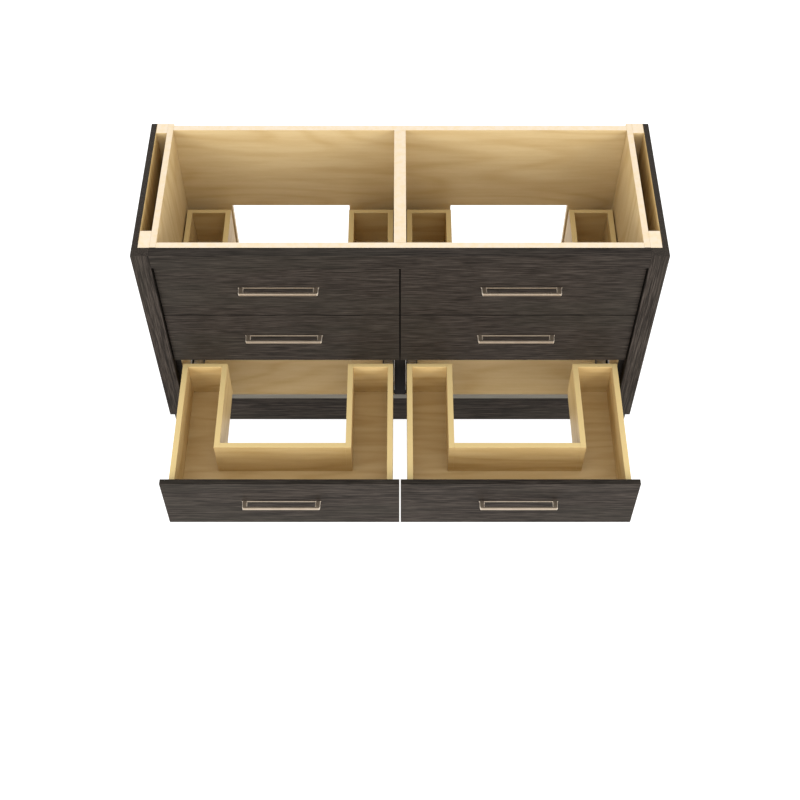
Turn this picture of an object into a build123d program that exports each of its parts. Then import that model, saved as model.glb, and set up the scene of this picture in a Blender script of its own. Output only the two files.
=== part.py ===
from build123d import *
import os

# A 60 inch double vanity cabinet. Sizes in mm. X runs left to right, Y runs from front to back, Z is up.
# "back" is measured from the front plane of the face frame, "down" from the top of the cabinet.
WIDTH, DEPTH, HEIGHT = 1524, 545, 876
BOARD = 18
TRAVEL = 457

# Face frame
FRAME_THICK = 32
STILE_WIDE = 52
STILE_DOWN = 778
RAIL_TALL = 52.5

# Carcass
INNER_SIDE_OUT = 711
CASE = INNER_SIDE_OUT - BOARD
POST_FRONT, POST_REAR = 65, 41
STRETCHER = 20
STRETCHER_TALL = 90
PARTITION = 35
BACK_FACE, BACK_THICK = 516, 20
CUTOUT_TOP, CUTOUT_FLOOR = 324, 640
FLOOR_TOP = 708.5
EDGING_TALL, EDGING_THICK = 22, 3
TOE_BACK = 49
CLEAT_WIDE, CLEAT_SPARE = 40, 8

# Fronts, three rows of two
FRONT_TALL, ROW_GAP = 220, 3
FRONT_THICK, FRONT_INSET = 18, 13
FRONT_NEAR, FRONT_FAR = 2, 708
FIRST_ROW = RAIL_TALL + ROW_GAP
ROWS = [FIRST_ROW + row * (FRONT_TALL + ROW_GAP) for row in range(3)]
FRONT_BACK = FRONT_INSET + FRONT_THICK
PULL_X = (FRONT_NEAR + FRONT_FAR) / 2
PULL_DOWN = 96

# Drawer boxes, drawn closed
WALL = 17
BOX_NEAR, BOX_FAR = 22, 688
BOX_END = 483
BOX_LOWER = 32
BOX_TALL = 151
BOX_FLOOR, FLOOR_THICK = 133, 6
SUB_FRONT = 16
REAR_WALL = 14
NOTCH_NEAR, NOTCH_FAR, NOTCH_BACK = 165, 547, 181

# Undermount slides, in the space under each box. Heights go up from the foot of the slide, widths out from
# the panel that it hangs on.
SLIDE_ROOM = 24
SHEET = 1.5
SLIDE_FRONT, SLIDE_REAR = 37, 501
FLANGE_LOW, FLANGE_HIGH = 19, 42
CHANNEL_WIDE, CHANNEL_LOW, CHANNEL_LIP = 40, 0.5, 9
MIDDLE_NEAR, MIDDLE_FAR, MIDDLE_LOW, MIDDLE_HIGH = 6, 37, 3, 13
MIDDLE_SHORTER = 4
INNER_NEAR, INNER_FAR, INNER_RIB, INNER_LOW = 5, 38.5, 20, 14
INNER_FRONT = 36

# Bar pulls. FOOT_OUT, ANKLE_OUT and NECK_OUT run along the bar, from the screw towards the bar's nearer end.
PULL_CENTERS, PULL_LONG, PULL_OUT = 224, 233, 28.5
BAR_TALL, BAR_DEEP, BAR_SOFTEN, BAR_TAPER = 9.2, 7, 1.2, 2.5
STRAP_LONG, STRAP_TALL, STRAP_DEEP = 237, 4.4, 2
FOOT_WIDE, FOOT_OUT, ANKLE_UP = 16, -1.7, 5
ANKLE_WIDE, ANKLE_OUT, ANKLE_TALL = 15, -2.4, 6.4
NECK_WIDE, NECK_OUT, NECK_TALL = 14.6, -3, 8.2
SCREW, SCREW_HOLE, SCREW_DEEP = 4, 4.5, 12
HEAD_WIDE, HEAD_THICK, SLOT_WIDE, SLOT_DEEP = 8, 2.4, 1, 1

# The middle of the whole object, bottom drawers open, sits over the origin.
SHIFT = (TRAVEL - FRONT_INSET + PULL_OUT - DEPTH) / 2
os.makedirs("parts", exist_ok=True)


def save(shape, name):
    solids = shape if isinstance(shape, list) else [shape]
    node = solids[0] if len(solids) == 1 else Compound(children=solids)
    export_step(node, f"parts/{name}.step")


def span(a, b):
    return min(a, b), max(a, b)


def board(x, back, down, soften=0.8):
    """A board between two X places, two distances back and two distances down."""
    (x0, x1), (y0, y1), (d0, d1) = span(*x), span(*back), span(*down)
    middle = ((x0 + x1) / 2, (y0 + y1) / 2 + SHIFT, HEIGHT - (d0 + d1) / 2)
    block = Pos(*middle) * Box(x1 - x0, y1 - y0, d1 - d0)
    return fillet(block.edges(), soften) if soften else block


def mirrored(side, near, far):
    return side * near, side * far


def rod(x, back, down, radius):
    """A round bar that runs from front to back."""
    y0, y1 = back
    place = Pos(x, (y0 + y1) / 2 + SHIFT, HEIGHT - down) * Rot(90, 0, 0)
    return place * Cylinder(radius, y1 - y0)


def pull_places(side):
    return [side * PULL_X + end * PULL_CENTERS / 2 for end in (-1, 1)]


def drilled(panel, side, back, down, size):
    for x in pull_places(side):
        panel -= rod(x, (back[0] - 1, back[1] + 1), down, size / 2)
    return panel


# Pulls
def on_wood(x, face, down):
    """A plane on the front of a panel, looking forwards."""
    return Plane(origin=(x, face + SHIFT, HEIGHT - down), x_dir=(1, 0, 0), z_dir=(0, -1, 0))


def pull_bar(wood):
    """The grip, a little shorter at the front than at the back."""
    rear = wood * Pos(0, 0, PULL_OUT - BAR_DEEP) * Rectangle(PULL_LONG, BAR_TALL)
    front = wood * Pos(0, 0, PULL_OUT) * Rectangle(PULL_LONG - 2 * BAR_TAPER, BAR_TALL)
    bar = loft([rear, front], ruled=True)
    return fillet(bar.edges(), BAR_SOFTEN)


def pull_post(wood, end):
    reach = PULL_OUT - BAR_DEEP + 1
    foot = wood * Pos(end * FOOT_OUT, 0) * Rectangle(FOOT_WIDE, STRAP_TALL)
    ankle = wood * Pos(end * ANKLE_OUT, 0, ANKLE_UP) * Rectangle(ANKLE_WIDE, ANKLE_TALL)
    neck = wood * Pos(end * NECK_OUT, 0, reach) * Rectangle(NECK_WIDE, NECK_TALL)
    return loft([foot, ankle, neck], ruled=True)


def pull(side, row, ahead):
    """A bar on two posts that flare out at the foot, joined along the wood by a thin strap."""
    down = ROWS[row] + PULL_DOWN
    face = FRONT_INSET - ahead
    middle = side * PULL_X
    strap = board(
        (middle - STRAP_LONG / 2, middle + STRAP_LONG / 2),
        (face - STRAP_DEEP, face),
        (down - STRAP_TALL / 2, down + STRAP_TALL / 2),
        0.5,
    )
    solid = pull_bar(on_wood(middle, face, down)) + strap
    for end, x in zip((-1, 1), pull_places(side)):
        solid += pull_post(on_wood(x, face, down), end)
    for x in pull_places(side):
        solid -= rod(x, (face - SCREW_DEEP - 2, face + 1), down, SCREW_HOLE / 2)
    return solid


def pull_screws(side, row, ahead, grip):
    """Two machine screws from behind, heads against the inner face."""
    down = ROWS[row] + PULL_DOWN
    face = FRONT_INSET - ahead
    inside = face + grip
    outside = inside + HEAD_THICK
    screws = []
    for x in pull_places(side):
        shank = rod(x, (face - SCREW_DEEP, inside + HEAD_THICK / 2), down, SCREW / 2)
        head = rod(x, (inside, outside), down, HEAD_WIDE / 2)
        slot_x = (x - HEAD_WIDE / 2, x + HEAD_WIDE / 2)
        slot_down = (down - SLOT_WIDE / 2, down + SLOT_WIDE / 2)
        slot = board(slot_x, (outside - SLOT_DEEP, outside + 1), slot_down, 0)
        screws.append(shank + head - slot)
    return screws


def front_panel(side, row, ahead):
    down = ROWS[row]
    back = (FRONT_INSET - ahead, FRONT_BACK - ahead)
    panel = board(mirrored(side, FRONT_NEAR, FRONT_FAR), back, (down, down + FRONT_TALL), 1)
    return drilled(panel, side, back, down + PULL_DOWN, SCREW_HOLE)


# Slides. Each is a run of sheet steel sections under the box, beside the partition or the case side.
def section(side, anchor, facing, low, pieces, back):
    """Flat strips that make one slide member, placed from the panel that the slide hangs on."""
    solid = None
    for x0, x1, z0, z1 in pieces:
        x = (side * anchor + facing * x0, side * anchor + facing * x1)
        strip = board(x, back, (low - z0, low - z1), 0)
        solid = strip if solid is None else solid + strip
    return solid


def slide_anchors(side):
    return [(PARTITION / 2, side), (CASE, -side)]


def slide_low(row):
    return ROWS[row] + BOX_LOWER + BOX_TALL + SLIDE_ROOM


def hang(side, row, pieces, back):
    low = slide_low(row)
    return [section(side, a, f, low, pieces, back) for a, f in slide_anchors(side)]


def flanges(side, row):
    """The plates that are screwed to the partition and the case sides."""
    return hang(side, row, [(0, SHEET, FLANGE_LOW, FLANGE_HIGH)], (SLIDE_FRONT, SLIDE_REAR))


def channels(side, row):
    """The fixed channels that hang from the flanges."""
    profile = [
        (0, SHEET, CHANNEL_LOW, FLANGE_LOW),
        (0, CHANNEL_WIDE, CHANNEL_LOW, CHANNEL_LOW + SHEET),
        (CHANNEL_WIDE - SHEET, CHANNEL_WIDE, CHANNEL_LOW, CHANNEL_LIP),
    ]
    return hang(side, row, profile, (SLIDE_FRONT, SLIDE_REAR))


def middle_members(side, row, ahead):
    profile = [
        (MIDDLE_NEAR, MIDDLE_FAR, MIDDLE_LOW, MIDDLE_LOW + SHEET),
        (MIDDLE_NEAR, MIDDLE_NEAR + SHEET, MIDDLE_LOW, MIDDLE_HIGH),
        (MIDDLE_FAR - SHEET, MIDDLE_FAR, MIDDLE_LOW, MIDDLE_HIGH),
        (MIDDLE_NEAR, MIDDLE_FAR, MIDDLE_HIGH - SHEET, MIDDLE_HIGH),
    ]
    front, rear = SLIDE_FRONT + MIDDLE_SHORTER, SLIDE_REAR - MIDDLE_SHORTER
    return hang(side, row, profile, (front - ahead, rear - ahead))


def drawer_members(side, row, ahead):
    profile = [
        (INNER_NEAR, INNER_FAR, SLIDE_ROOM - SHEET, SLIDE_ROOM),
        (INNER_NEAR, INNER_NEAR + SHEET, INNER_LOW, SLIDE_ROOM),
        (INNER_FAR - SHEET, INNER_FAR, INNER_LOW, SLIDE_ROOM),
        (INNER_RIB, INNER_RIB + SHEET, INNER_LOW, SLIDE_ROOM),
    ]
    return hang(side, row, profile, (INNER_FRONT - ahead, BOX_END - ahead))


# Drawer boxes
def drawer(side, row, ahead, tag):
    top = ROWS[row] + BOX_LOWER
    bottom = top + BOX_TALL
    start = FRONT_BACK - ahead
    inside = start + SUB_FRONT
    end = BOX_END - ahead
    notch = NOTCH_BACK - ahead
    tall = (top, bottom)

    sub = board(mirrored(side, BOX_NEAR, BOX_FAR), (start, inside), tall)
    sub = drilled(sub, side, (start, inside), ROWS[row] + PULL_DOWN, SCREW_HOLE)
    sides = [
        board(mirrored(side, BOX_NEAR, BOX_NEAR + WALL), (inside, end), tall),
        board(mirrored(side, BOX_FAR - WALL, BOX_FAR), (inside, end), tall),
    ]
    walls = [
        board(mirrored(side, NOTCH_NEAR - WALL, NOTCH_NEAR), (notch - WALL, end), tall),
        board(mirrored(side, NOTCH_FAR, NOTCH_FAR + WALL), (notch - WALL, end), tall),
        board(mirrored(side, NOTCH_NEAR, NOTCH_FAR), (notch - WALL, notch), tall),
        board(mirrored(side, BOX_NEAR + WALL, NOTCH_NEAR - WALL), (end - REAR_WALL, end), tall),
        board(mirrored(side, NOTCH_FAR + WALL, BOX_FAR - WALL), (end - REAR_WALL, end), tall),
    ]
    floor_down = (top + BOX_FLOOR, top + BOX_FLOOR + FLOOR_THICK)
    floor_x = mirrored(side, BOX_NEAR + WALL, BOX_FAR - WALL)
    tray = board(floor_x, (inside, end - REAR_WALL), floor_down, 0)
    notch_x = mirrored(side, NOTCH_NEAR - WALL, NOTCH_FAR + WALL)
    tray -= board(notch_x, (notch - WALL, end), (floor_down[0] - 1, floor_down[1] + 1), 0)

    save(front_panel(side, row, ahead), f"{tag}_front")
    save(sub, f"{tag}_box_front")
    save(sides, f"{tag}_box_sides")
    save(walls, f"{tag}_plumbing_walls")
    save(tray, f"{tag}_bottom")
    save(pull(side, row, ahead), f"{tag}_pull")
    save(pull_screws(side, row, ahead, FRONT_THICK + SUB_FRONT), f"{tag}_pull_screws")
    save(drawer_members(side, row, ahead), f"{tag}_slide_inner")
    save(middle_members(side, row, ahead / 2), f"{tag}_slide_middle")


# Face frame and carcass
def face_frame():
    stile_in = WIDTH / 2 - STILE_WIDE
    save(board((-stile_in, stile_in), (0, FRAME_THICK), (0, RAIL_TALL)), "top_rail")
    for side, name in ((-1, "left"), (1, "right")):
        stile = board(mirrored(side, stile_in, WIDTH / 2), (0, FRAME_THICK), (0, STILE_DOWN))
        save(stile, f"stile_{name}")


def carcass_sides():
    outer_in = WIDTH / 2 - BOARD
    front_posts, rear_posts = [], []
    for side, name in ((-1, "left"), (1, "right")):
        outer_x = mirrored(side, outer_in, WIDTH / 2)
        outer = board(outer_x, (FRAME_THICK, DEPTH), (0, HEIGHT))
        outer -= board(outer_x, (0, TOE_BACK), (STILE_DOWN, HEIGHT + 1), 0)
        save(outer, f"outer_side_{name}")
        inner_x = mirrored(side, CASE, INNER_SIDE_OUT)
        save(board(inner_x, (FRAME_THICK, DEPTH), (0, FLOOR_TOP)), f"inner_side_{name}")
        post_x = mirrored(side, INNER_SIDE_OUT, outer_in)
        front_posts.append(board(post_x, (FRAME_THICK, FRAME_THICK + POST_FRONT), (0, FLOOR_TOP)))
        rear_posts.append(board(post_x, (DEPTH - POST_REAR, DEPTH), (0, FLOOR_TOP)))
    save(front_posts, "front_posts")
    save(rear_posts, "rear_posts")


def carcass_inside():
    stretcher = (FRAME_THICK, FRAME_THICK + STRETCHER)
    save(board((-CASE, CASE), stretcher, (0, STRETCHER_TALL)), "front_stretcher")
    half = PARTITION / 2
    wall = board((-half, half), (FRAME_THICK, BACK_FACE), (0, FLOOR_TOP))
    wall -= board((-half, half), (0, stretcher[1]), (-1, STRETCHER_TALL), 0)
    save(wall, "center_partition")

    panel = board((-CASE, CASE), (BACK_FACE, BACK_FACE + BACK_THICK), (0, FLOOR_TOP))
    for side in (-1, 1):
        hole = board(
            mirrored(side, NOTCH_NEAR, NOTCH_FAR),
            (BACK_FACE - 1, DEPTH),
            (CUTOUT_TOP, CUTOUT_FLOOR),
            0,
        )
        panel -= hole
    save(panel, "back_panel")

    outer_in = WIDTH / 2 - BOARD
    edging = (FRAME_THICK, FRAME_THICK + EDGING_THICK)
    floor = board((-outer_in, outer_in), (edging[1], DEPTH), (FLOOR_TOP, FLOOR_TOP + BOARD))
    save(floor, "bottom_panel")
    strip = board((-outer_in, outer_in), edging, (FLOOR_TOP, FLOOR_TOP + EDGING_TALL))
    save(strip, "bottom_edging")


def base():
    outer_in = WIDTH / 2 - BOARD
    tall = (FLOOR_TOP + BOARD, HEIGHT)
    front, rear = (TOE_BACK, TOE_BACK + BOARD), (BACK_FACE, BACK_FACE + BOARD)
    save(board((-outer_in, outer_in), front, tall), "toe_kick")
    bearers = [board((-outer_in, outer_in), rear, tall)]
    for x in (-INNER_SIDE_OUT, -BOARD / 2, INNER_SIDE_OUT - BOARD):
        bearers.append(board((x, x + BOARD), (front[1], rear[0]), tall))
    save(bearers, "base_bearers")


def false_fronts():
    down = (STRETCHER_TALL + 2, ROWS[0] + FRONT_TALL - CLEAT_SPARE)
    cleats, screws = [], []
    for side, name in ((-1, "left"), (1, "right")):
        save(front_panel(side, 0, 0), f"false_front_{name}")
        save(pull(side, 0, 0), f"false_pull_{name}")
        screws += pull_screws(side, 0, 0, FRONT_THICK)
        for near, far in ((PARTITION / 2, PARTITION / 2 + CLEAT_WIDE), (CASE - CLEAT_WIDE, CASE)):
            cleats.append(board(mirrored(side, near, far), (FRONT_BACK, FRONT_BACK + BOARD), down))
    save(cleats, "false_front_cleats")
    save(screws, "false_pull_screws")


def drawers():
    plates, runners = [], []
    for row, height in ((1, "middle"), (2, "bottom")):
        for side, name in ((-1, "left"), (1, "right")):
            drawer(side, row, TRAVEL if row == 2 else 0, f"{height}_{name}")
            plates += flanges(side, row)
            runners += channels(side, row)
    save(plates, "slide_flanges")
    save(runners, "slide_channels")


face_frame()
carcass_sides()
carcass_inside()
base()
false_fronts()
drawers()
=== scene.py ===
import math

import bmesh
import bpy
from mathutils import Matrix, Vector


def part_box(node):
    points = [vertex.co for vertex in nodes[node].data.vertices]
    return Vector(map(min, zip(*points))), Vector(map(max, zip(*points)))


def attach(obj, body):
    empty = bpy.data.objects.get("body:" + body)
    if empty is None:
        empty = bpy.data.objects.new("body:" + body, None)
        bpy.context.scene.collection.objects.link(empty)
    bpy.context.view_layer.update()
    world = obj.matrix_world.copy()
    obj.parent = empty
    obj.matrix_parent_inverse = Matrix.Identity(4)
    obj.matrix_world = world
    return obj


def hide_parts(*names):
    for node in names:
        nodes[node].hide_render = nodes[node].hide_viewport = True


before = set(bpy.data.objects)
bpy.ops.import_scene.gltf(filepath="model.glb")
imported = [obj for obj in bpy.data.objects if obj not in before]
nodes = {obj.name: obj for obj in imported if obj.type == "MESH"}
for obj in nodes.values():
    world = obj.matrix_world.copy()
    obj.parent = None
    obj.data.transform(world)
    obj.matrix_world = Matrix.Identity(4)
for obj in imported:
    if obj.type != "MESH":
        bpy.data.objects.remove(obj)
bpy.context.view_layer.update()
mm = 0.001
sides = ("left", "right")
drawerTags = [f"{row}_{side}" for row in ("middle", "bottom") for side in sides]
print("frame loaded with", len(nodes), "nodes")


class Wire:  # one socket's value, so that shader sums read as sums
    def __init__(self, paint, socket):
        self.paint, self.socket = paint, socket

    def math(self, operation, *values):
        return self.paint.node("ShaderNodeMath", {"operation": operation}, dict(enumerate(values)))

    def __add__(self, other):
        return self.math("ADD", self, other)

    def __sub__(self, other):
        return self.math("SUBTRACT", self, other)

    def __rsub__(self, other):
        return self.math("SUBTRACT", other, self)

    def __mul__(self, other):
        return self.math("MULTIPLY", self, other)

    def __pow__(self, other):
        return self.math("POWER", self, other)

    def __abs__(self):
        return self.math("ABSOLUTE", self)

    def __gt__(self, other):
        return self.math("GREATER_THAN", self, other)

    def __lt__(self, other):
        return self.math("LESS_THAN", self, other)

    def sine(self):
        return self.math("SINE", self)

    def ramp(self, low, high):  # 0 at low, 1 at high, smooth between
        settings = {"interpolation_type": "SMOOTHSTEP"}
        return self.paint.node("ShaderNodeMapRange", settings, {0: self, 1: low, 2: high})

    __radd__ = __add__
    __rmul__ = __mul__


class Paint:  # one material and its nodes
    def __init__(self, name, **constants):
        self.material = bpy.data.materials.new(name)
        self.material.use_nodes = True
        self.tree = self.material.node_tree
        self.tree.nodes.clear()
        self.shader = self.tree.nodes.new("ShaderNodeBsdfPrincipled")
        output = self.tree.nodes.new("ShaderNodeOutputMaterial")
        self.tree.links.new(self.shader.outputs[0], output.inputs[0])
        for socketName, value in constants.items():
            self.set(socketName, value)

    def feed(self, socket, value):
        if isinstance(value, Wire):
            self.tree.links.new(value.socket, socket)
        else:
            socket.default_value = value

    def set(self, socketName, value):
        self.feed(self.shader.inputs[socketName], value)

    def node(self, kind, settings=None, inputs=None, output=0):
        made = self.tree.nodes.new(kind)
        for key, value in (settings or {}).items():
            setattr(made, key, value)
        for key, value in (inputs or {}).items():
            self.feed(made.inputs[key], value)
        return Wire(self, made.outputs[output])

    def place(self):  # the point on the object, and the way its face looks
        point = self.node("ShaderNodeTexCoord", output="Object")
        facing = self.node("ShaderNodeTexCoord", output="Normal")
        return self.split(point), self.split(facing)

    def split(self, vector):
        return [self.node("ShaderNodeSeparateXYZ", inputs={0: vector}, output=k) for k in range(3)]

    def join(self, x, y, z):
        return self.node("ShaderNodeCombineXYZ", inputs={0: x, 1: y, 2: z})

    def noise(self, vector, scale=1, detail=3, roughness=0.5):
        inputs = {"Vector": vector, "Scale": scale, "Detail": detail, "Roughness": roughness}
        return self.node("ShaderNodeTexNoise", {"noise_dimensions": "3D"}, inputs)

    def blend(self, factor, first, second):
        settings = {"data_type": "RGBA", "clamp_factor": True}
        ready = [c if isinstance(c, Wire) else (*c, 1) for c in (first, second)]
        return self.node("ShaderNodeMix", settings, {0: factor, 6: ready[0], 7: ready[1]}, output=2)

    def bump(self, height, distance, strength=1):
        inputs = {"Strength": strength, "Distance": distance, "Height": height}
        self.set("Normal", self.node("ShaderNodeBump", inputs=inputs))


def grainSpace(point, facing, grain):  # along the grain, then the two ways across it
    x, y, z = point
    if grain == "z":
        return z, x, y
    if grain == "x":
        return x, y, z
    turned = abs(facing[0]) > 0.5  # walls that face left or right have their grain front to back
    return x + turned * (y - x), y + turned * (x - y), z


darkWood = {
    "pore": (0.0080, 0.0060, 0.0045),
    "body": (0.0230, 0.0174, 0.0138),
    "bright": (0.0560, 0.0450, 0.0370),
    "olive": (0.0255, 0.0230, 0.0170),
    # painted shade: the near-black that faces in gaps and recesses, and the darker rail, are blended towards
    "paintedShade": (0.0020, 0.0015, 0.0010),
    "streaksPerMetre": (9, 430),
    "fibresPerMetre": (22, 1000),
    "bandsPerMetre": (1.2, 60),
    "patchesPerMetre": (2.2, 9),
    "grainRough": 0.6,
    "toneMix": (0.6, 0.3, 0.1),  # streaks, fibres and bands in the dark part, then in the light part
    "toneRamp": (0.38, 0.56),
    "lightMix": (0.55, 0.45),
    "lightRamp": (0.47, 0.63),
    "bandRamp": (0.36, 0.64),
    "bandPart": 0.25,
    "patchRamp": (0.42, 0.62),
    "patchPart": 0.28,
    "edgePaintedShade": 0.72,  # painted shade: how far the narrow side faces in the gaps are darkened
    # painted shade: the top rail's veneer is darkened all over, so its lit top reads as dark as the fronts
    "railPaintedShade": 0.16,
    # painted shade on the top and bottom faces of the fronts, for the gaps between rows: closed rows, then
    # open rows
    "closedTopPaintedShade": 0.85,
    "openTopPaintedShade": 0.3,
    # painted shade: how far the dark front edges of the plywood walls are darkened
    "frontEdgePaintedShade": 0.8,
    "roughness": (0.66, 0.16),  # in the pores, and how much less on the fibres
    "relief": (0.3 * mm, 0.7),
    "specular": 0.08,
}
lightWood = {
    "early": (0.605, 0.462, 0.245),
    "late": (0.490, 0.340, 0.150),
    # the tops' colour: plain lipping, made paler as a painted highlight from the light above
    "edge": (0.620, 0.520, 0.395),
    "figurePerMetre": (0.9, 5.5),
    "figureLines": 11.5,
}
drawerWood = {
    "early": (0.585, 0.428, 0.200),
    "late": (0.445, 0.290, 0.106),
    "edge": (0.560, 0.425, 0.190),
    "figurePerMetre": (1.3, 9),
    "figureLines": 7.5,
}
plyGrain = {
    "fieldDetail": (1.5, 0.4),
    "softPerMetre": (4, 45),
    "softRamp": (0.3, 0.7),
    "flecksPerMetre": (70, 1500),
    "fleckRamp": (0.45, 0.7),
    "figurePower": 3,
    "mix": (0.40, 0.45, 0.16),  # figure, soft bands and flecks
    "paleTopPerMetre": (60, 9),
    "paleTopRamp": (0.35, 0.7),
    "paleTopPart": 0.5,
    "roughness": (0.4, 0.12),
    "relief": (0.08 * mm, 0.5),
}
layers = {"perMetre": 280, "ramp": (-0.3, 0.3), "dark": (0.34, 0.225, 0.115)}  # the plies on a cut edge


def darkVeneerColour(paint, along, across, other):
    look = darkWood

    def streaks(rates, shift, detail, rough=look["grainRough"]):
        run, wide = rates
        return paint.noise(paint.join(along * run + shift, across * wide, other * wide), 1, detail, rough)

    medium = streaks(look["streaksPerMetre"], 3, 2)
    fine = streaks(look["fibresPerMetre"], 11, 2)
    broad = streaks(look["bandsPerMetre"], 5, 3)
    patch = streaks(look["patchesPerMetre"], 0, 2, 0.5)
    mediumPart, finePart, broadPart = look["toneMix"]
    tone = (medium * mediumPart + fine * finePart + broad * broadPart).ramp(*look["toneRamp"])
    colour = paint.blend(tone, look["pore"], look["body"])
    mediumPart, finePart = look["lightMix"]
    light = (medium * mediumPart + fine * finePart).ramp(*look["lightRamp"])
    light = light * ((1 - look["bandPart"]) + look["bandPart"] * broad.ramp(*look["bandRamp"]))
    colour = paint.blend(light, colour, look["bright"])
    colour = paint.blend(patch.ramp(*look["patchRamp"]) * look["patchPart"], colour, look["olive"])
    height = medium * 0.5 + fine * 0.5
    return colour, height


def lightPlyColour(paint, look, along, across, other):
    def grain(rates, detail, rough):
        run, wide = rates
        return paint.noise(paint.join(along * run, across * wide, other * wide), 1, detail, rough)

    field = grain(look["figurePerMetre"], *plyGrain["fieldDetail"])
    figure = (field * (math.tau * look["figureLines"])).sine() * 0.5 + 0.5
    soft = grain(plyGrain["softPerMetre"], 3, 0.6)
    fleck = grain(plyGrain["flecksPerMetre"], 2, 0.5)
    figurePart, softPart, fleckPart = plyGrain["mix"]
    tone = figure ** plyGrain["figurePower"] * figurePart + soft.ramp(*plyGrain["softRamp"]) * softPart
    tone = tone + fleck.ramp(*plyGrain["fleckRamp"]) * fleckPart
    return paint.blend(tone, look["early"], look["late"]), fleck


def makeDarkVeneer(name, grain, lightBeyond=None, darkEdges=None, topPaintedShade=0, paintedShadeAmount=0):
    paint = Paint(name, **{"Specular IOR Level": darkWood["specular"]})
    point, facing = paint.place()
    space = grainSpace(point, facing, grain)
    colour, height = darkVeneerColour(paint, *space)
    # painted shade over the whole piece
    if paintedShadeAmount:
        colour = paint.blend(paintedShadeAmount, colour, darkWood["paintedShade"])
    # painted shade on the side faces in the gaps between fronts, and on their top and bottom faces
    if darkEdges == "sides":
        edges = (abs(facing[0]) > 0.7) * darkWood["edgePaintedShade"] + (abs(facing[2]) > 0.7) * topPaintedShade
        colour = paint.blend(edges, colour, darkWood["paintedShade"])
    if darkEdges == "inward":  # painted shade on the narrow side that looks towards the middle, in the recess beside the fronts
        inward = point[0] * facing[0] < -0.3
        colour = paint.blend(inward * darkWood["edgePaintedShade"], colour, darkWood["paintedShade"])
    if lightBeyond:  # the face that looks into the case is light ply, but not in front of the toe kick
        plyColour, _ = lightPlyColour(paint, drawerWood, *space)
        inside = (abs(point[0]) < lightBeyond) * (point[1] > toeFront)
        colour = paint.blend(inside, colour, plyColour)
    paint.set("Base Color", colour)
    rough, smoother = darkWood["roughness"]
    paint.set("Roughness", rough - smoother * height)
    paint.bump(height, *darkWood["relief"])
    return paint.material


def makeLightPly(name, look, grain, darkBefore=None, topEdges=False, layersAlong=None, gloss=0.5):
    paint = Paint(name, **{"Specular IOR Level": gloss})
    point, facing = paint.place()
    space = grainSpace(point, facing, grain)
    colour, height = lightPlyColour(paint, look, *space)
    if topEdges:  # the up-facing tops take the paler, plain lipping colour, which on the case ply is also a painted highlight from the light above
        flat, up = plyGrain["paleTopPerMetre"]
        streak = paint.noise(paint.join(point[0] * flat, point[1] * flat, point[2] * up), 1, 3, 0.6)
        worn = streak.ramp(*plyGrain["paleTopRamp"]) * plyGrain["paleTopPart"]
        lippingAndHighlight = paint.blend(worn, look["edge"], look["early"])
        colour = paint.blend(facing[2] > 0.6, colour, lippingAndHighlight)
    if layersAlong is not None:  # the plies show on the cut edge at the back
        ply = (point[layersAlong] * (math.tau * layers["perMetre"])).sine().ramp(*layers["ramp"])
        colour = paint.blend(ply * (facing[1] > 0.7), colour, layers["dark"])
    if darkBefore:  # the front edge is stained dark like the fronts; its further darkening past the fronts is painted shade, for the shade under the drawers above
        edgeColour, _ = darkVeneerColour(paint, point[2], point[0], point[1])
        edgeColour = paint.blend(darkWood["frontEdgePaintedShade"], edgeColour, darkWood["paintedShade"])
        colour = paint.blend(point[1] < darkBefore, colour, edgeColour)
    paint.set("Base Color", colour)
    rough, rougher = plyGrain["roughness"]
    paint.set("Roughness", rough + rougher * height)
    paint.bump(height, *plyGrain["relief"])
    return paint.material


metalLook = {
    "brushed": (20, 1400),
    "cloudsPerMetre": 30,
    "cloudRamp": (0.35, 0.7),
    "cloudPart": 0.5,
    "rougher": 0.12,
    "relief": (0.02 * mm, 0.4),
    "endRamp": (0.15, 0.5),
    "highlightMetallic": (0.86, 0.46),  # metallic on the flat faces, and how much less on the rounded ends, where the painted highlight shows
}


def makeMetal(name, base, dark, roughness, ends=None):
    look = metalLook
    paint = Paint(name, Metallic=1)
    point, facing = paint.place()
    x, y, z = point
    run, wide = look["brushed"]
    each = look["cloudsPerMetre"]
    lines = paint.noise(paint.join(x * run, y * wide, z * wide), 1, 2, 0.5)
    cloud = paint.noise(paint.join(x * each, y * each, z * each), 1, 3, 0.6)
    colour = paint.blend(cloud.ramp(*look["cloudRamp"]) * look["cloudPart"], base, dark)
    if ends:  # painted highlight: the rounded ends and edges that face sideways get a brighter, less metallic colour
        rounded = abs(facing[0]).ramp(*look["endRamp"])
        colour = paint.blend(rounded, colour, ends)
        flat, less = look["highlightMetallic"]
        paint.set("Metallic", flat - less * rounded)
    paint.set("Base Color", colour)
    paint.set("Roughness", roughness + look["rougher"] * lines)
    paint.bump(lines, *look["relief"])
    return paint.material


coatedLook = {
    "base": (0.05, 0.05, 0.055),
    "worn": (0.08, 0.08, 0.088),
    "metallic": 0.6,
    "cloudsPerMetre": 60,
    "cloudRamp": (0.4, 0.7),
    "roughness": (0.35, 0.15),
}


def makeCoatedSteel(name, look):
    paint = Paint(name, Metallic=look["metallic"])
    x, y, z = paint.place()[0]
    each = look["cloudsPerMetre"]
    cloud = paint.noise(paint.join(x * each, y * each, z * each), 1, 4, 0.6)
    paint.set("Base Color", paint.blend(cloud.ramp(*look["cloudRamp"]), look["base"], look["worn"]))
    rough, rougher = look["roughness"]
    paint.set("Roughness", rough + rougher * cloud)
    return paint.material


edging = {
    "front": (0.185, 0.172, 0.140),
    "streak": (0.140, 0.130, 0.105),
    "top": (0.42, 0.34, 0.215),
    "specular": 0.3,
    "streaksPerMetre": (14, 300),
    "streakRamp": (0.35, 0.65),
    "roughness": (0.42, 0.1),
}


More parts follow.
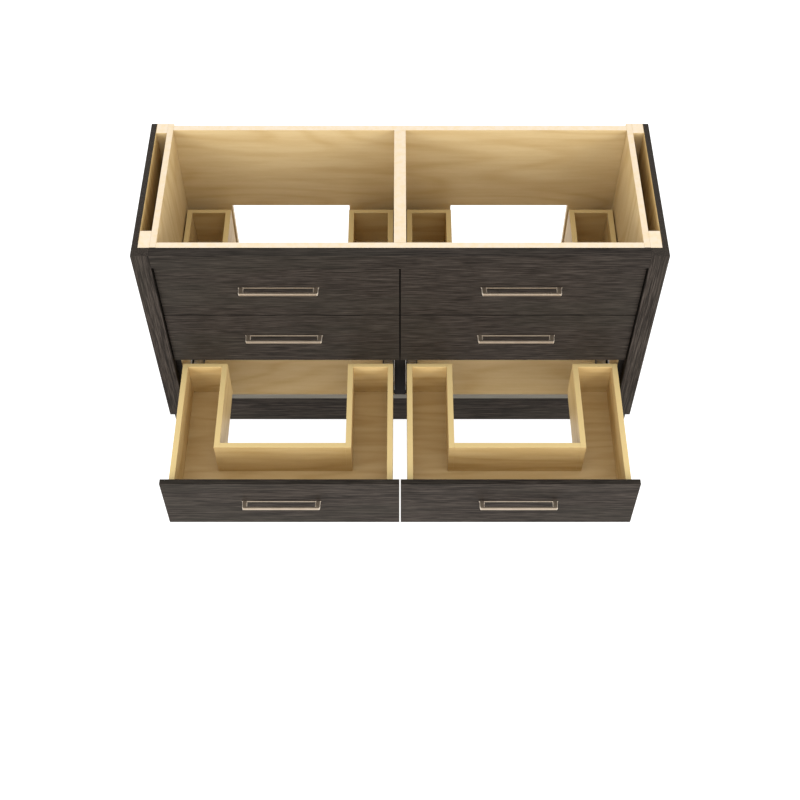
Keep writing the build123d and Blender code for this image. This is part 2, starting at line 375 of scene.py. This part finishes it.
def makeEdging(name, look):  # grey band on the floor's front edge, ply colour on its thin top
    paint = Paint(name, **{"Specular IOR Level": look["specular"]})
    point, facing = paint.place()
    x, y, z = point
    run, wide = look["streaksPerMetre"]
    streak = paint.noise(paint.join(x * run, y * wide, z * wide), 1, 3, 0.6)
    front = paint.blend(streak.ramp(*look["streakRamp"]), look["front"], look["streak"])
    paint.set("Base Color", paint.blend(facing[2] > 0.5, front, look["top"]))
    rough, rougher = look["roughness"]
    paint.set("Roughness", rough + rougher * streak)
    return paint.material


past = {"caseFront": 0.8 * mm, "outerSide": 0.6 * mm, "toeKick": 1.5 * mm}  # just past the rounded corners
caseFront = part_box("center_partition")[0].y + past["caseFront"]
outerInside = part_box("outer_side_right")[0].x + past["outerSide"]
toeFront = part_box("toe_kick")[0].y + past["toeKick"]
# painted shade: the drawer floors take a darker copy of the drawer ply, for the shade deep inside the boxes
shadedTrayWood = {**drawerWood, "early": (0.54, 0.39, 0.185), "late": (0.42, 0.275, 0.104)}
metalColours = {
    # the last bronze colour is the painted highlight on the rounded ends and edges
    "bronze": ((0.44, 0.36, 0.275), (0.35, 0.275, 0.20), 0.3, (0.80, 0.70, 0.57)),
    "zinc": ((0.66, 0.67, 0.68), (0.5, 0.5, 0.52), 0.28),
}
lowGloss, flatGloss = 0.2, 0.08

veneerX = makeDarkVeneer("veneerAcross", "x")
# a darker copy of the across-grain veneer for the top rail, as painted shade
veneerRail = makeDarkVeneer("veneerRail", "x", paintedShadeAmount=darkWood["railPaintedShade"])
veneerClosed = makeDarkVeneer("veneerFront", "x", darkEdges="sides", topPaintedShade=darkWood["closedTopPaintedShade"])
veneerOpen = makeDarkVeneer("veneerOpenFront", "x", darkEdges="sides", topPaintedShade=darkWood["openTopPaintedShade"])
veneerZ = makeDarkVeneer("veneerUp", "z", darkEdges="inward")
veneerSide = makeDarkVeneer("veneerOuterSide", "z", lightBeyond=outerInside)
plyX = makeLightPly("plyAcross", lightWood, "x", topEdges=True)
plyFloor = makeLightPly("plyFloor", lightWood, "x", layersAlong=2, gloss=lowGloss)
plyZ = makeLightPly(
    "plyUp", lightWood, "z", darkBefore=caseFront, topEdges=True, layersAlong=0, gloss=flatGloss
)
plyPosts = makeLightPly("plyPosts", lightWood, "z", topEdges=True)
plyBase = makeLightPly("plyBase", lightWood, "walls")
drawerPly = makeLightPly("drawerPly", drawerWood, "walls", topEdges=True, gloss=lowGloss)
drawerFloor = makeLightPly("drawerFloorPly", shadedTrayWood, "x")
bronze = makeMetal("champagneBronze", *metalColours["bronze"])
zinc = makeMetal("zincSteel", *metalColours["zinc"])
coated = makeCoatedSteel("coatedSteel", coatedLook)
greyEdge = makeEdging("edgingGrey", edging)
print("materials made")


def dress(material, *names):
    for name in names:
        node = nodes[name]
        node.data.materials.clear()
        node.data.materials.append(material)


dress(veneerRail, "top_rail")
dress(veneerX, "toe_kick")
dress(veneerClosed, "false_front_left", "false_front_right")
dress(veneerZ, "stile_left", "stile_right")
dress(veneerSide, "outer_side_left", "outer_side_right")
dress(plyX, "front_stretcher", "back_panel")
dress(plyFloor, "bottom_panel")
dress(plyZ, "inner_side_left", "inner_side_right", "center_partition")
dress(plyPosts, "front_posts", "rear_posts", "false_front_cleats")
dress(plyBase, "base_bearers")
dress(greyEdge, "bottom_edging")
dress(zinc, "slide_flanges", "false_pull_screws")
dress(coated, "slide_channels")
dress(bronze, "false_pull_left", "false_pull_right")
for tag in drawerTags:
    dress(veneerOpen if tag.startswith("bottom") else veneerClosed, f"{tag}_front")
    dress(drawerPly, f"{tag}_box_front", f"{tag}_box_sides", f"{tag}_plumbing_walls")
    dress(drawerFloor, f"{tag}_bottom")
    dress(bronze, f"{tag}_pull")
    dress(zinc, f"{tag}_pull_screws", f"{tag}_slide_middle")
    dress(coated, f"{tag}_slide_inner")


pullLook = {
    "barLong": 233 * mm,
    "barTaper": 2.6 * mm,
    "barTall": 9 * mm,
    "barDeep": 7 * mm,
    "strapLong": 236.6 * mm,
    "strapTall": 3.8 * mm,
    "strapThick": 1.8 * mm,
    "centres": 224 * mm,
    "foot": (16.0 * mm, 4.2 * mm, -1.7 * mm),  # wide, tall, and how far out from the screw
    "flare": (  # how far along the post, then the same three sizes
        (0.08, (15.3 * mm, 4.5 * mm, -2.1 * mm)),
        (0.22, (14.8 * mm, 5.2 * mm, -2.5 * mm)),
        (1.00, (14.4 * mm, 8.0 * mm, -3.0 * mm)),
    ),
    "intoBar": 0.7,  # how deep in the bar each post ends
    "footThick": 1 * mm,
    "shortStep": 1.2 * mm,  # edges that run forward by less stay sharp
    "edge": 1.5 * mm,
    "postEdge": 2.1 * mm,
    "strapEdge": 0.5 * mm,
}


def block(mesh, size, middle):
    made = bmesh.ops.create_cube(mesh, size=1)["verts"]
    bmesh.ops.scale(mesh, vec=size, verts=made)
    bmesh.ops.translate(mesh, vec=middle, verts=made)
    return made


def bevelEdges(mesh, edges, width, segments=2):
    bmesh.ops.bevel(
        mesh, geom=list(edges), offset=width, offset_type="OFFSET", affect="EDGES",
        segments=segments, profile=0.5, material=-1, clamp_overlap=True,
    )


def roundEdges(mesh, verts, width, segments=2):
    bevelEdges(mesh, {edge for vert in verts for edge in vert.link_edges}, width, segments)


def reach(edge):
    return abs((edge.verts[0].co - edge.verts[1].co).y)


def flaredPost(mesh, look, end, x, face, tip, z):  # a foot on the wood, drawn forward into the bar
    wide, tall, out = look["foot"]
    thick = look["footThick"]
    foot = block(mesh, (wide, thick, tall), (x + end * out, face - thick / 2, z))
    front = min({f for v in foot for f in v.link_faces}, key=lambda f: f.calc_center_median().y)
    post = set(foot)
    for part, size in look["flare"]:
        grown = bmesh.ops.extrude_face_region(mesh, geom=[front])["geom"]
        verts = [g for g in grown if isinstance(g, bmesh.types.BMVert)]
        bmesh.ops.delete(mesh, geom=[front], context="FACES_ONLY")
        front = next(g for g in grown if isinstance(g, bmesh.types.BMFace))
        middle = front.calc_center_median()
        shrink = (size[0] / wide, 1, size[1] / tall)
        bmesh.ops.scale(mesh, vec=shrink, verts=verts, space=Matrix.Translation(-middle))
        there = Vector((x + end * size[2], face - (face - tip) * part, z))
        bmesh.ops.translate(mesh, vec=there - middle, verts=verts)
        wide, tall = size[:2]
        post.update(verts)
    forward = {e for v in post for e in v.link_edges if reach(e) > look["shortStep"]}
    bevelEdges(mesh, forward, look["postEdge"], 3)


def finishPiece(mesh, name, body, material, slotName, *replaced):
    bmesh.ops.recalc_face_normals(mesh, faces=mesh.faces)
    data = bpy.data.meshes.new(name)
    mesh.to_mesh(data)
    mesh.free()
    piece = bpy.data.objects.new(name, data)
    bpy.context.scene.collection.objects.link(piece)
    data.materials.append(material)
    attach(piece, body)
    if replaced:
        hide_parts(*replaced)
    return piece


def makePull(node, body):
    look = pullLook
    low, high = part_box(node)
    x, z = (low.x + high.x) / 2, (low.z + high.z) / 2
    tip, face = low.y, high.y
    mesh = bmesh.new()
    bar = block(mesh, (look["barLong"], look["barDeep"], look["barTall"]), (x, tip + look["barDeep"] / 2, z))
    for vert in bar:  # the front is shorter than the back
        if vert.co.y < tip + look["barDeep"] / 2:
            vert.co.x -= math.copysign(look["barTaper"], vert.co.x - x)
    roundEdges(mesh, bar, look["edge"], 4)
    thick = look["strapThick"]
    strap = block(mesh, (look["strapLong"], thick, look["strapTall"]), (x, face - thick / 2, z))
    roundEdges(mesh, strap, look["strapEdge"])
    postTip = tip + look["barDeep"] * look["intoBar"]
    for end in (-1, 1):
        flaredPost(mesh, look, end, x + end * look["centres"] / 2, face, postTip, z)
    finishPiece(mesh, f"{node}_bar", body, bronze, "bronze_pull", node)


for side in sides:
    makePull(f"false_pull_{side}", "cabinet")
for tag in drawerTags:
    makePull(f"{tag}_pull", f"{tag}_drawer")
print("pulls made")


slideLook = {  # widths go out from the panel, heights up from the foot of the slide
    "sheet": 1.5 * mm,
    "plate": (19 * mm, 42 * mm),
    "bead": (27.5 * mm, 33.5 * mm, 2.5 * mm),
    "beadShorter": 12 * mm,
    "beadSoft": 0.9 * mm,
    "screwAt": (0.05, 0.26, 0.5, 0.74, 0.95),
    "screwDown": 4.4 * mm,
    "screw": (3.3 * mm, 1.7 * mm),
    "screwTop": 0.72,
    "socket": (0.3, 0.5),  # its rim against the head's radius, its depth against the head's thickness
    "channel": (40 * mm, 0.5 * mm, 9 * mm),
    "lipRoll": 1.3 * mm,
    "middle": (6 * mm, 37 * mm, 3 * mm, 13 * mm),
    "inner": (5 * mm, 38.5 * mm, 20 * mm),
    "innerTall": (14 * mm, 24 * mm),
    "soft": 0.45 * mm,
}


class Slide:  # one run of slide: the face that it hangs on, which way it goes out, and its foot
    def __init__(self, tag, anchor, facing):
        low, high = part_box(f"{tag}_slide_middle")
        self.anchor, self.facing = anchor, facing
        self.foot = low.z - slideLook["middle"][2]

    def strip(self, mesh, x0, x1, z0, z1, ends, soft=slideLook["soft"]):
        size = (x1 - x0, ends[1] - ends[0], z1 - z0)
        x = self.anchor + self.facing * (x0 + x1) / 2
        made = block(mesh, size, (x, (ends[0] + ends[1]) / 2, self.foot + (z0 + z1) / 2))
        roundEdges(mesh, made, soft)

    def bar(self, mesh, x0, z0, radius, ends):  # a round bar from front to back
        turn = Matrix.Rotation(math.pi / 2, 4, "X")
        middle = (self.anchor + self.facing * x0, (ends[0] + ends[1]) / 2, self.foot + z0)
        bmesh.ops.create_cone(
            mesh, cap_ends=True, segments=12, radius1=radius, radius2=radius,
            depth=ends[1] - ends[0], matrix=Matrix.Translation(middle) @ turn,
        )

    def screwHead(self, mesh, x0, z0, y):
        radius, thick = slideLook["screw"]
        rim, deep = slideLook["socket"]
        turn = Matrix.Rotation(self.facing * math.pi / 2, 4, "Y")
        middle = (self.anchor + self.facing * (x0 + thick / 2), y, self.foot + z0)
        made = bmesh.ops.create_cone(
            mesh, cap_ends=True, segments=20, radius1=radius, radius2=radius * slideLook["screwTop"],
            depth=thick, matrix=Matrix.Translation(middle) @ turn,
        )["verts"]
        caps = {f for v in made for f in v.link_faces if len(f.verts) > 4}
        cap = max(caps, key=lambda f: f.calc_center_median().x * self.facing)
        bmesh.ops.inset_region(mesh, faces=[cap], thickness=radius * rim, use_even_offset=True)
        bmesh.ops.translate(mesh, vec=(-self.facing * thick * deep, 0, 0), verts=cap.verts)


def slidesOf(tag):
    side = 1 if tag.endswith("right") else -1
    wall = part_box("center_partition")[1].x
    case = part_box("inner_side_right")[0].x
    return [Slide(tag, side * wall, side), Slide(tag, side * case, -side)]


def lengthOf(node):
    low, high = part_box(node)
    return low.y, high.y


def makeFixedSlides():
    look = slideLook
    plates, channels = bmesh.new(), bmesh.new()
    ends = lengthOf("slide_flanges")
    sheet = look["sheet"]
    for slide in [run for tag in drawerTags for run in slidesOf(tag)]:
        low, high = look["plate"]
        slide.strip(plates, 0, sheet, low, high, ends)
        beadLow, beadHigh, proud = look["bead"]
        beadEnds = (ends[0] + look["beadShorter"], ends[1] - look["beadShorter"])
        slide.strip(plates, 0, proud, beadLow, beadHigh, beadEnds, look["beadSoft"])
        for part in look["screwAt"]:
            slide.screwHead(plates, sheet, high - look["screwDown"], ends[0] + part * (ends[1] - ends[0]))
        wide, floor, lip = look["channel"]
        slide.strip(channels, 0, sheet, floor, low, ends)
        slide.strip(channels, 0, wide, floor, floor + sheet, ends)
        slide.strip(channels, wide - sheet, wide, floor, lip, ends)
        slide.bar(channels, wide - look["lipRoll"], lip - look["lipRoll"], look["lipRoll"], ends)
    finishPiece(plates, "slideFlangePlates", "cabinet", zinc, "zinc_steel", "slide_flanges")
    finishPiece(channels, "slideChannelRuns", "cabinet", coated, "dark_steel", "slide_channels")


def makeMiddleMembers(tag):
    mesh = bmesh.new()
    near, far, low, high = slideLook["middle"]
    sheet = slideLook["sheet"]
    ends = lengthOf(f"{tag}_slide_middle")
    for slide in slidesOf(tag):
        slide.strip(mesh, near, far, low, low + sheet, ends)
        slide.strip(mesh, near, far, high - sheet, high, ends)
        slide.strip(mesh, near, near + sheet, low, high, ends)
        slide.strip(mesh, far - sheet, far, low, high, ends)
    finishPiece(mesh, f"{tag}_middleMembers", f"{tag}_slide", zinc, "dark_steel", f"{tag}_slide_middle")


def makeDrawerMembers(tag):
    mesh = bmesh.new()
    near, far, rib = slideLook["inner"]
    low, high = slideLook["innerTall"]
    sheet = slideLook["sheet"]
    ends = lengthOf(f"{tag}_slide_inner")
    for slide in slidesOf(tag):
        slide.strip(mesh, near, far, high - sheet, high, ends)
        for x in (near, rib, far - sheet):
            slide.strip(mesh, x, x + sheet, low, high, ends)
    finishPiece(mesh, f"{tag}_drawerMembers", f"{tag}_drawer", coated, "dark_steel", f"{tag}_slide_inner")


makeFixedSlides()
for tag in drawerTags:
    makeMiddleMembers(tag)
    makeDrawerMembers(tag)
print("slides made")


studio = {
    "floorSize": 14,
    "floorColour": (0.30, 0.30, 0.30),
    "floorGlow": 0.92,
    "worldStrength": 1.42,
    "leftFill": {"place": (-3.1, -3.5, 1.9), "size": 2.6, "power": 112},
    "rightFill": {"place": (3.1, -3.5, 1.9), "size": 2.6, "power": 112},
}


def makeFloor():
    mesh = bmesh.new()
    bmesh.ops.create_grid(mesh, x_segments=1, y_segments=1, size=studio["floorSize"] / 2)
    data = bpy.data.meshes.new("floor")
    mesh.to_mesh(data)
    mesh.free()
    floor = bpy.data.objects.new("floor", data)
    bpy.context.scene.collection.objects.link(floor)
    paint = Paint("floorPaint", Roughness=0.9)
    paint.set("Base Color", (*studio["floorColour"], 1))
    paint.set("Emission Color", (1, 1, 1, 1))
    paint.set("Emission Strength", studio["floorGlow"])
    data.materials.append(paint.material)


def makeLight(name, target):
    look = studio[name]
    data = bpy.data.lights.new(name, "AREA")
    data.shape, data.size, data.energy = "DISK", look["size"], look["power"]
    lamp = bpy.data.objects.new(name, data)
    bpy.context.scene.collection.objects.link(lamp)
    lamp.location = look["place"]
    lamp.rotation_mode = "QUATERNION"
    lamp.rotation_quaternion = (Vector(target) - lamp.location).to_track_quat("-Z", "Y")


def makeWorld():
    world = bpy.data.worlds.new("studio")
    world.use_nodes = True
    background = world.node_tree.nodes["Background"]
    background.inputs[0].default_value = (1, 1, 1, 1)
    background.inputs[1].default_value = studio["worldStrength"]
    bpy.context.scene.world = world


cameraLook = {"ahead": 2.4146, "above": 2.6657, "pitch": 54.306, "lens": 57.06}


def makeCamera():
    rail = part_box("top_rail")
    data = bpy.data.cameras.new("camera")
    data.lens, data.sensor_width = cameraLook["lens"], 36
    camera = bpy.data.objects.new("camera", data)
    bpy.context.scene.collection.objects.link(camera)
    camera.location = (0, rail[0].y - cameraLook["ahead"], rail[1].z + cameraLook["above"])
    camera.rotation_euler = (math.radians(90 - cameraLook["pitch"]), 0, 0)
    bpy.context.scene.camera = camera


makeFloor()
makeWorld()
for lightName in ("leftFill", "rightFill"):
    makeLight(lightName, (0, 0, 0.5))
makeCamera()
bpy.context.scene.view_settings.view_transform = "Standard"
print("studio ready")
